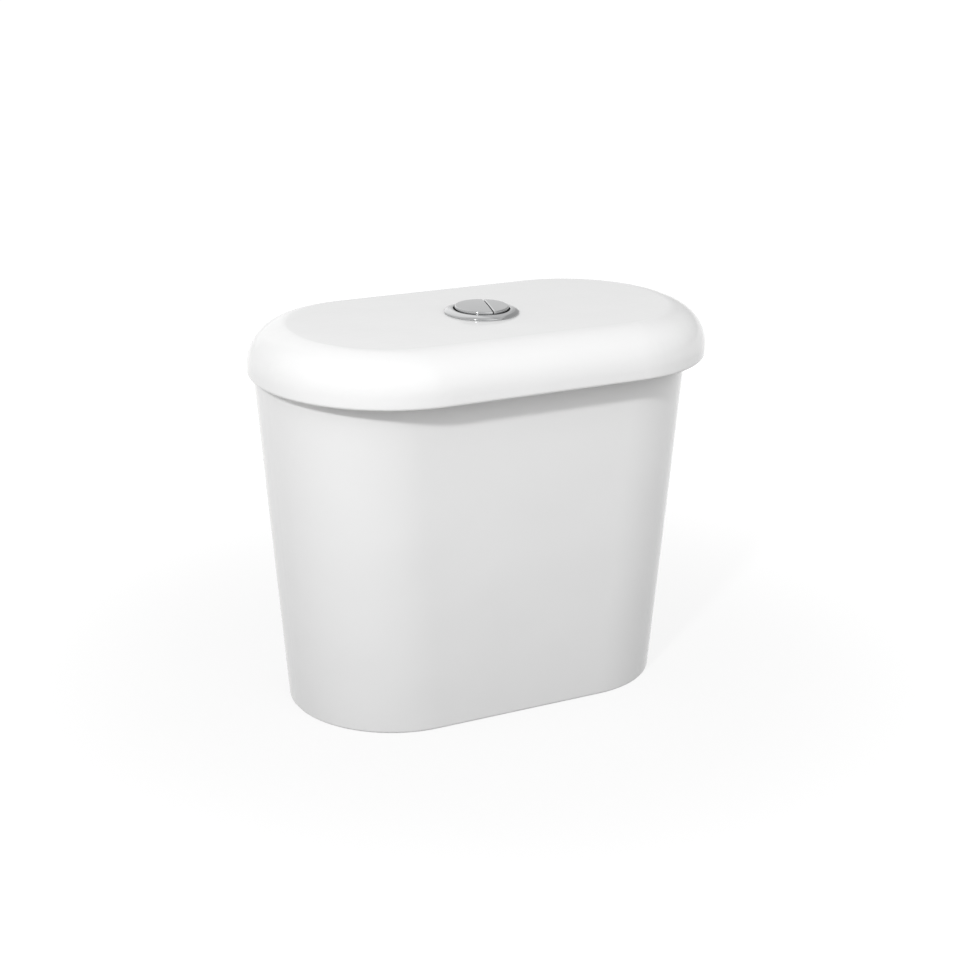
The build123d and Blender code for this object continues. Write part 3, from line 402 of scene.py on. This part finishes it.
def round_edges(node, width):
    """Rounds the sharp edges of a CAD solid in its picture, with modifiers alone."""
    piece = frame["nodes"][node]
    piece.modifiers.new("weld", "WELD").merge_threshold = WELD * MM
    bevel = piece.modifiers.new("round", "BEVEL")
    bevel.width, bevel.segments, bevel.limit_method = width * MM, EDGE_SEGMENTS, "ANGLE"
    bevel.angle_limit = math.radians(SHARP_ANGLE)
    piece.modifiers.new("weighted", "WEIGHTED_NORMAL").keep_sharp = True


for node, width in EDGE_ROUNDING.items():
    round_edges(node, width)
for part in frame["record"]["subparts"]:
    name = "china_lid" if part["node"] == "lid" else part["material_slot"]
    mesh = frame["nodes"][part["node"]].data
    mesh.materials.clear()
    mesh.materials.append(looks[name])


# Finer pieces in place of plain CAD solids

MERGE = 0.0005
CORNER_STEPS = 4
THREAD_ROWS = 8


def make_mesh(name, points, faces):
    """A mesh from points in millimetres."""
    mesh = bpy.data.meshes.new(name)
    mesh.from_pydata([Vector(p) * MM for p in points], [], faces)
    return mesh


def add_piece(name, points, faces, slot, body, replaced):
    """Makes a smooth mesh, and puts it on its body in the place of a CAD node."""
    mesh = make_mesh(name, points, faces)
    shell = bmesh.new()
    shell.from_mesh(mesh)
    bmesh.ops.remove_doubles(shell, verts=shell.verts, dist=MERGE * MM)
    loose = [edge for edge in shell.edges if not edge.link_faces]
    bmesh.ops.delete(shell, geom=loose, context="EDGES")
    bmesh.ops.recalc_face_normals(shell, faces=shell.faces)
    shell.to_mesh(mesh)
    shell.free()
    mesh.shade_smooth()
    mesh.set_sharp_from_angle(angle=math.radians(SHARP_ANGLE))
    mesh.materials.append(looks[slot])
    piece = place_object(name, mesh)
    piece.modifiers.new("weighted", "WEIGHTED_NORMAL").keep_sharp = True
    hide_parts(replaced)
    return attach(piece, body)


def rounded(profile):
    """The corners of a closed profile, each rounded over the length that is its third number."""
    made = []
    for k, (r, z, soft) in enumerate(profile):
        corner = Vector((r, z))
        if not soft:
            made.append(corner)
            continue
        before, after = (Vector(profile[j % len(profile)][:2]) for j in (k - 1, k + 1))
        start = corner + (before - corner).normalized() * soft
        end = corner + (after - corner).normalized() * soft
        for step in range(CORNER_STEPS + 1):
            t = step / CORNER_STEPS
            made.append(start * (1 - t) ** 2 + corner * 2 * t * (1 - t) + end * t ** 2)
    return made


class Thread:
    """A thread cut into the outside of a turned piece between two heights."""

    def __init__(self, radius, low, high, pitch, depth):
        self.radius, self.low, self.high, self.pitch, self.depth = radius, low, high, pitch, depth

    def rows(self, start, end):
        """The extra points of a profile's run that the thread is on."""
        if abs(start[0] - self.radius) > MERGE or abs(end[0] - self.radius) > MERGE:
            return []
        count = round((self.high - self.low) / self.pitch * THREAD_ROWS)
        levels = [self.low + (self.high - self.low) * k / count for k in range(count + 1)]
        if start[1] > end[1]:
            levels.reverse()
        bottom, top = sorted((start[1], end[1]))
        return [Vector((self.radius, z)) for z in levels if bottom < z < top]

    def cut(self, radius, z, turn):
        """How deep the thread is at a height and a share of a turn."""
        if abs(radius - self.radius) > MERGE or not self.low < z < self.high:
            return 0
        fade = min(1, (z - self.low) / self.pitch, (self.high - z) / self.pitch)
        return self.depth * fade * (0.5 - 0.5 * math.cos(math.tau * (z / self.pitch - turn)))


def turned(profile, sides, centre=(0, 0), threads=()):
    """The points and faces of a piece turned about an upright axis, from its closed profile."""
    corners = rounded(profile)
    rows = []
    for k, corner in enumerate(corners):
        rows.append(corner)
        for thread in threads:
            rows += thread.rows(corner, corners[(k + 1) % len(corners)])
    points, faces, count = [], [], len(rows)
    for k in range(sides):
        turn = k / sides
        across, along = math.cos(math.tau * turn), math.sin(math.tau * turn)
        for radius, z in rows:
            r = radius - sum(thread.cut(radius, z, turn) for thread in threads)
            points.append((centre[0] + r * across, centre[1] + r * along, z))
        here, there = k * count, (k + 1) % sides * count
        for j in range(count):
            after = (j + 1) % count
            faces.append((here + j, there + j, there + after, here + after))
    return points, faces


def wire(path, radius, sides):
    """The points and faces of a round wire along a path, closed at both ends."""
    points, faces, side = [], [], None
    last = len(path) - 1
    for k, place in enumerate(path):
        ahead = (path[min(k + 1, last)] - path[max(k - 1, 0)]).normalized()
        side = ahead.orthogonal() if side is None else side - ahead * side.dot(ahead)
        side.normalize()
        up = ahead.cross(side)
        for j in range(sides):
            turn = math.tau * j / sides
            points.append(place + (side * math.cos(turn) + up * math.sin(turn)) * radius)
    for k in range(last):
        here, there = k * sides, (k + 1) * sides
        for j in range(sides):
            after = (j + 1) % sides
            faces.append((here + j, here + after, there + after, there + j))
    faces.append(tuple(range(sides)))
    faces.append(tuple(range(last * sides, (last + 1) * sides)))
    return points, faces


def joined(*shapes):
    """Several shapes as one list of points and one of faces."""
    points, faces = [], []
    for some, theirs in shapes:
        faces += [tuple(j + len(points) for j in face) for face in theirs]
        points += some
    return points, faces


# Return springs of round wire, with flat end turns

SPRING_WIRE = 0.8
SPRING_WIRE_SIDES = 12
SPRING_TURNS = 6
SPRING_STEPS = 32
SPRING_FLAT_SHARE = 0.13


def make_spring(node, body):
    """A spring in its node's box, on its button's body."""
    low, high = (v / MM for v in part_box(node))
    middle, height = (low + high) / 2, high.z - low.z
    radius = (high.x - low.x - SPRING_WIRE) / 2
    flat_rise = SPRING_WIRE * SPRING_TURNS * SPRING_FLAT_SHARE
    steep_rise = height - SPRING_WIRE - 2 * flat_rise
    steep_share = 1 - 2 * SPRING_FLAT_SHARE
    path = []
    for k in range(SPRING_TURNS * SPRING_STEPS + 1):
        share = k / (SPRING_TURNS * SPRING_STEPS)
        angle = math.tau * k / SPRING_STEPS
        flat = min(share, SPRING_FLAT_SHARE) + max(share - 1 + SPRING_FLAT_SHARE, 0)
        steep = min(max((share - SPRING_FLAT_SHARE) / steep_share, 0), 1)
        z = low.z + SPRING_WIRE / 2 + flat / SPRING_FLAT_SHARE * flat_rise + steep * steep_rise
        x, y = middle.x + radius * math.cos(angle), middle.y + radius * math.sin(angle)
        path.append(Vector((x, y, z)))
    shape = wire(path, SPRING_WIRE / 2, SPRING_WIRE_SIDES)
    piece = add_piece(node + "_wire", *shape, "steel", body, node)
    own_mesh(piece)


make_spring("full_button_spring", "full_button")
make_spring("half_button_spring", "half_button")


# Chrome ring. A profile's corners are a radius, a height and the reach of the rounding.

LID_TOP = 321.5
BORE_R = 23.2
RING_R = 30.5
RING_FOOT_R = 29.7
RING_SHOULDER_R = 28.2
RING_LIP_R = 24.8
RING_FOOT = LID_TOP + 0.4
RING_EDGE = LID_TOP + 1.3
RING_SHOULDER = LID_TOP + 2.6
RING_TOP = LID_TOP + 3.4
RING_SIDES = 160
RING = (
    (BORE_R, LID_TOP, 0.15),
    (RING_FOOT_R, LID_TOP, 0),
    (RING_FOOT_R, RING_FOOT, 0.1),
    (RING_R, RING_FOOT, 0.15),
    (RING_R, RING_EDGE, 0.7),
    (RING_SHOULDER_R, RING_SHOULDER, 1.1),
    (RING_LIP_R, RING_TOP, 0.6),
    (BORE_R, RING_TOP, 0.6),
)
add_piece("button_ring", *turned(RING, RING_SIDES), "chrome", "lid", "button_rosette")

# Buttons, each a thin cap with a skirt, and a hub for its rod

BUTTON_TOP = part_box("full_flush_button")[1].z / MM
BUTTON_R = 22.0
BUTTON_WALL = 1.4
BUTTON_CHORD = {"full": -5.0, "half": 5.8}
BUTTON_TURN = 17
BUTTON_SKIRT = 12.0
BUTTON_EDGE = 1.0
BUTTON_DOME = 0.4
BUTTON_CEILING = BUTTON_TOP - 2.0
HUB_X = 13
HUB_R = 3.2
HUB_BORE_R = 2.1
HUB_FOOT = BUTTON_CEILING - 10
HUB_TOP = BUTTON_CEILING + 0.4
HUB_SIDES = 48
HUB = (
    (HUB_BORE_R, HUB_FOOT, 0.2),
    (HUB_R, HUB_FOOT, 0.3),
    (HUB_R, HUB_TOP, 0),
    (HUB_BORE_R, HUB_TOP, 0),
)
ARC_STEPS = 96
CHORD_STEPS = 24
EDGE_STEPS = 5
DOME_STEPS = 12


def button_plan(side, chord, inset):
    """The outline of a button moved in by a length: an arc, and a chord across it."""
    radius, chord = BUTTON_R - inset, chord + inset
    half = math.acos(chord / radius)
    outline = []
    for k in range(ARC_STEPS + 1):
        angle = half - 2 * half * k / ARC_STEPS
        outline.append((side * radius * math.cos(angle), radius * math.sin(angle)))
    reach = radius * math.sin(half)
    for k in range(1, CHORD_STEPS):
        outline.append((side * chord, -reach + 2 * reach * k / CHORD_STEPS))
    return outline


def shrunk(outline, middle_x, share):
    """An outline drawn in to a share of its size, towards a point on the X axis."""
    return [(middle_x + (x - middle_x) * share, y * share) for x, y in outline]


def dome(x, y):
    """The height of the buttons' top at a place."""
    return BUTTON_TOP - BUTTON_DOME * (x * x + y * y) / BUTTON_R ** 2


def button_shape(side, chord):
    """A thin cap with a rounded edge, a slightly full top and a skirt."""
    foot = BUTTON_TOP - BUTTON_SKIRT
    middle_x = side * (BUTTON_R + chord) / 2
    inner, outer = button_plan(side, chord, BUTTON_WALL), button_plan(side, chord, 0)
    rings = [[(x, y, BUTTON_CEILING) for x, y in shrunk(inner, middle_x, share)] for share in (0, 1)]
    rings += [[(x, y, foot) for x, y in plan] for plan in (inner, outer)]
    for k in range(EDGE_STEPS + 1):
        turn = math.pi / 2 * k / EDGE_STEPS
        edge = button_plan(side, chord, BUTTON_EDGE * (1 - math.cos(turn)))
        drop = BUTTON_EDGE * (1 - math.sin(turn))
        rings.append([(x, y, dome(x, y) - drop) for x, y in edge])
    top = button_plan(side, chord, BUTTON_EDGE)
    for k in range(1, DOME_STEPS + 1):
        ring = shrunk(top, middle_x, 1 - k / DOME_STEPS)
        rings.append([(x, y, dome(x, y)) for x, y in ring])
    turn = math.radians(BUTTON_TURN)
    across, along = math.cos(turn), math.sin(turn)
    points = [(x * across + y * along, y * across - x * along, z) for ring in rings for x, y, z in ring]
    faces, count = [], len(inner)
    for k in range(len(rings) - 1):
        here, there = k * count, (k + 1) * count
        for j in range(count):
            after = (j + 1) % count
            faces.append((here + j, here + after, there + after, there + j))
    return points, faces


for kind, side in (("full", -1), ("half", 1)):
    hub = turned(HUB, HUB_SIDES, (side * HUB_X, 0))
    shape = joined(button_shape(side, BUTTON_CHORD[kind]), hub)
    button = kind + "_button"
    add_piece(button + "_cap", *shape, "chrome", button, kind + "_flush_button")


# Barrel. Its number of sides is odd, because with an even one the drilled mesh isn't closed.

BARREL_R = 25
BARREL_BOTTOM = 295.5
BARREL_FLOOR = 297.5
BARREL_SIDES = 121
BARREL = (
    (0, BARREL_BOTTOM, 0),
    (BARREL_R, BARREL_BOTTOM, 0.8),
    (BARREL_R, LID_TOP, 0.2),
    (BORE_R, LID_TOP, 0.2),
    (BORE_R, BARREL_FLOOR, 0.6),
    (0, BARREL_FLOOR, 0),
)
BARREL_THREAD = Thread(BARREL_R, low=297, high=318, pitch=2.5, depth=0.55)
ROD_HOLE_R = 3.44
ROD_HOLE_SIDES = 48
DRILL_SPAN = (290, 300)


def drill(piece, places):
    """Drills the rods' upright holes through a piece."""
    for x, y in places:
        path = [Vector((x, y, z)) for z in DRILL_SPAN]
        cutter = place_object("drill", make_mesh("drill", *wire(path, ROD_HOLE_R, ROD_HOLE_SIDES)))
        cut = piece.modifiers.new("hole", "BOOLEAN")
        cut.operation, cut.solver, cut.object = "DIFFERENCE", "EXACT", cutter
        bpy.context.view_layer.update()
        finished = piece.evaluated_get(bpy.context.evaluated_depsgraph_get())
        made = bpy.data.meshes.new_from_object(finished)
        piece.modifiers.remove(cut)
        piece.data = made
        bpy.data.objects.remove(cutter)


shape = turned(BARREL, BARREL_SIDES, threads=[BARREL_THREAD])
barrel = add_piece("button_barrel_thread", *shape, "white_plastic", "lid", "button_barrel")
drill(barrel, [(-HUB_X, 0), (HUB_X, 0)])

# Base of the flush valve and shank of the fill valve, whose flanges lie at one level

FLANGE_FOOT = 47
FLANGE_TOP = 51
VALVE_BORE_R = 25
VALVE_TAIL_R = 29
VALVE_FLANGE_R = 44
VALVE_SEAT_R = 32
VALVE_SEAT_BORE_R = 27.5
VALVE_BOTTOM = 10
VALVE_SEAT_TOP = 63
VALVE_SIDES = 120
VALVE_BASE = (
    (VALVE_BORE_R, VALVE_BOTTOM, 0.6),
    (VALVE_TAIL_R, VALVE_BOTTOM, 0.9),
    (VALVE_TAIL_R, FLANGE_FOOT, 0.3),
    (VALVE_FLANGE_R, FLANGE_FOOT, 0.4),
    (VALVE_FLANGE_R, FLANGE_TOP, 0.8),
    (VALVE_SEAT_R, FLANGE_TOP, 0.6),
    (VALVE_SEAT_R, VALVE_SEAT_TOP, 1.4),
    (VALVE_SEAT_BORE_R, VALVE_SEAT_TOP, 0.8),
    (VALVE_SEAT_BORE_R, FLANGE_FOOT, 0.4),
    (VALVE_BORE_R, FLANGE_FOOT, 0.5),
)
VALVE_THREAD = Thread(VALVE_TAIL_R, low=11, high=46, pitch=3.2, depth=0.7)
SHANK_BORE_R = 5.5
SHANK_R = 10.45
SHANK_RELIEF_R = 9.55
SHANK_FLANGE_R = 16
SHANK_SPIGOT_R = 9
SHANK_BOTTOM = 7
SHANK_RELIEF_SPAN = (22.5, 24.5)
SHANK_TOP = 66
SHANK_SIDES = 72
SHANK = (
    (SHANK_BORE_R, SHANK_BOTTOM, 0.4),
    (SHANK_R, SHANK_BOTTOM, 0.8),
    (SHANK_R, SHANK_RELIEF_SPAN[0], 0.2),
    (SHANK_RELIEF_R, SHANK_RELIEF_SPAN[0], 0.3),
    (SHANK_RELIEF_R, SHANK_RELIEF_SPAN[1], 0.3),
    (SHANK_R, SHANK_RELIEF_SPAN[1], 0.2),
    (SHANK_R, FLANGE_FOOT, 0.2),
    (SHANK_FLANGE_R, FLANGE_FOOT, 0.3),
    (SHANK_FLANGE_R, FLANGE_TOP, 0.6),
    (SHANK_SPIGOT_R, FLANGE_TOP, 0.4),
    (SHANK_SPIGOT_R, SHANK_TOP, 0.6),
    (SHANK_BORE_R, SHANK_TOP, 0.3),
)
SHANK_PITCH = 1.81
SHANK_THREAD_DEPTH = 0.5
SHANK_THREADS = [Thread(SHANK_R, low, high, SHANK_PITCH, SHANK_THREAD_DEPTH)
                 for low, high in ((8, 22), (25, 44))]
low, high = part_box("inlet_shank")
FILL_CENTRE = tuple((a + b) / 2 / MM for a, b in zip(low.xy, high.xy))
shape = turned(VALVE_BASE, VALVE_SIDES, threads=[VALVE_THREAD])
add_piece("flush_valve_base_thread", *shape, "white_plastic", "tank", "flush_valve_base")
shape = turned(SHANK, SHANK_SIDES, FILL_CENTRE, SHANK_THREADS)
add_piece("inlet_shank_thread", *shape, "brass", "tank", "inlet_shank")


# Refill hose. Its route's points are the CAD's, with one more in the drop.

HOSE_D = 7.0
HOSE_Y = 9
HOSE_ROUTE = ((97.67, 238.5), (74.2, 238.5), (43.7, 272), (0, 272), (0, 255), (0, 233))
HOSE_SMOOTHNESS = 32
HOSE_ROUNDNESS = 6


def make_hose():
    """The hose as a smooth tube along its route's X and Z."""
    data = bpy.data.curves.new("refill_hose_tube", "CURVE")
    data.dimensions, data.resolution_u = "3D", HOSE_SMOOTHNESS
    data.bevel_depth, data.bevel_resolution = HOSE_D / 2 * MM, HOSE_ROUNDNESS
    data.use_fill_caps = True
    spline = data.splines.new("NURBS")
    spline.points.add(len(HOSE_ROUTE) - 1)
    for point, (x, z) in zip(spline.points, HOSE_ROUTE):
        point.co = (*(Vector((x, HOSE_Y, z)) * MM), 1)
    spline.order_u, spline.use_endpoint_u = 3, True
    data.materials.append(looks["clear_hose"])
    hose = place_object("refill_hose_tube", data)
    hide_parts("refill_hose")
    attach(hose, "tank")


make_hose()


# Floor and world, in metres. A level of 1 is white, and the levels by side multiply the ones by height.

FLOOR_HALF = 30.0
FLOOR_GLOW = 0.82
# Painted shade: the floor's grey near the object, darker than far out, and the distances over which it
# fades.
FLOOR_PAINTED_SHADE_GREY = 0.15
FLOOR_FAR = 0.41
FLOOR_PAINTED_SHADE_SPAN = (0.2, 0.9)
WORLD_LEVEL = 0.76
SEEN_BY_HEIGHT = ((0.0, 0.985), (0.05, 0.92), (0.12, 0.86), (0.8, 0.86), (0.93, 0.6), (1.0, 0.6))
SEEN_BY_SIDE = ((0.0, 0.95), (0.4, 1.0), (0.47, 1.4), (0.66, 1.45),
                (0.69, 0.98), (0.77, 0.96), (0.8, 0.6), (1.0, 0.55))
SIDE_BLEND = (0.03, 0.08)


def bare_graph(owner):
    """The graph of a material or a world, with no nodes yet."""
    owner.use_nodes = True
    owner.node_tree.nodes.clear()
    return Graph(owner.node_tree)


def seen_rays(graph):
    """One for the rays that show a background, nought for the ones that light the object."""
    path = graph.node("ShaderNodeLightPath").outputs
    total = path["Is Camera Ray"]
    for key in ("Is Glossy Ray", "Is Transmission Ray"):
        total = graph.math("MAXIMUM", total, path[key])
    return total


def make_floor():
    """A floor that shows white and keeps a soft shadow, with painted shade: its grey is darker near the
    object, where it throws less light up.
    """
    half = FLOOR_HALF
    mesh = bpy.data.meshes.new("floor")
    corners = [(-half, -half, 0), (half, -half, 0), (half, half, 0), (-half, half, 0)]
    mesh.from_pydata(corners, [], [(0, 1, 2, 3)])
    floor = place_object("floor", mesh)
    material = bpy.data.materials.new("floor")
    graph = bare_graph(material)
    place = graph.node("ShaderNodeNewGeometry").outputs["Position"]
    away = graph.node("ShaderNodeVectorMath", {0: place}, operation="LENGTH").outputs["Value"]
    # Painted shadow round the object's foot: the floor's grey is darker near the middle.
    grey = graph.spread(away, FLOOR_PAINTED_SHADE_GREY, FLOOR_FAR, *FLOOR_PAINTED_SHADE_SPAN,
                        interpolation_type="SMOOTHSTEP")
    diffuse = graph.node("ShaderNodeBsdfDiffuse", {"Color": grey}).outputs[0]
    strength = graph.math("MULTIPLY", seen_rays(graph), FLOOR_GLOW)
    glow = graph.node("ShaderNodeEmission", {"Strength": strength}).outputs[0]
    both = graph.node("ShaderNodeAddShader", {0: diffuse, 1: glow}).outputs[0]
    graph.node("ShaderNodeOutputMaterial", {"Surface": both})
    mesh.materials.append(material)
    floor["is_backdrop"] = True


def make_world():
    """A pale room, shaded by height and side where it is seen, and even where it gives light."""
    world = bpy.data.worlds.new("world")
    bpy.context.scene.world = world
    graph = bare_graph(world)
    light = graph.node("ShaderNodeBackground", {"Strength": WORLD_LEVEL}).outputs[0]
    x, _, z = graph.parts(graph.node("ShaderNodeTexCoord").outputs["Generated"])
    by_height = graph.ramp(z, SEEN_BY_HEIGHT)
    by_side = graph.ramp(graph.spread(x, 0, 1, -1, 1), SEEN_BY_SIDE)
    above = graph.spread(z, 0, 1, *SIDE_BLEND)
    tint = graph.mix(above, by_height, by_side, blend_type="MULTIPLY")
    seen = graph.node("ShaderNodeBackground", {"Color": tint, "Strength": 1}).outputs[0]
    room = graph.node("ShaderNodeMixShader", {0: seen_rays(graph), 1: light, 2: seen}).outputs[0]
    graph.node("ShaderNodeOutputWorld", {"Surface": room})


# Lamps, each by its azimuth and elevation in degrees, distance, size and level

KEY_LAMP = (-47, 31, 2.4, 0.16, 0.4)
SOFT_LAMPS = {
    "top": (0, 88, 2.2, 1.6, 0.02),
    "right": (100, 18, 2.6, 1.4, 0.12),
    "back": (178, 10, 2.6, 1.6, 0.13),
    "front": (2, 25, 1.4, 0.9, 0.175),
    "left": (-106, 4, 2.2, 1.2, 0.14),
}


def make_lamp(name, azimuth, elevation, distance, size, level):
    """A square lamp aimed at the object, that gives a white surface facing it a stated level."""
    data = bpy.data.lights.new(name, "AREA")
    data.shape, data.size = "SQUARE", size
    data.energy = level * math.pi ** 2 * distance ** 2
    lamp = place_object(name, data)
    a, e = math.radians(azimuth), math.radians(elevation)
    back = Vector((math.sin(a) * math.cos(e), -math.cos(a) * math.cos(e), math.sin(e)))
    lamp.location = Vector(VIEW_TARGET) + back * distance
    lamp.rotation_mode = "QUATERNION"
    lamp.rotation_quaternion = (-back).to_track_quat("-Z", "Y")
    return lamp


make_camera()
make_floor()
make_world()
make_lamp("key", *KEY_LAMP)
for name, values in SOFT_LAMPS.items():
    make_lamp(name, *values).visible_glossy = False

view = bpy.context.scene.view_settings
view.view_transform = "Standard"

low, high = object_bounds()
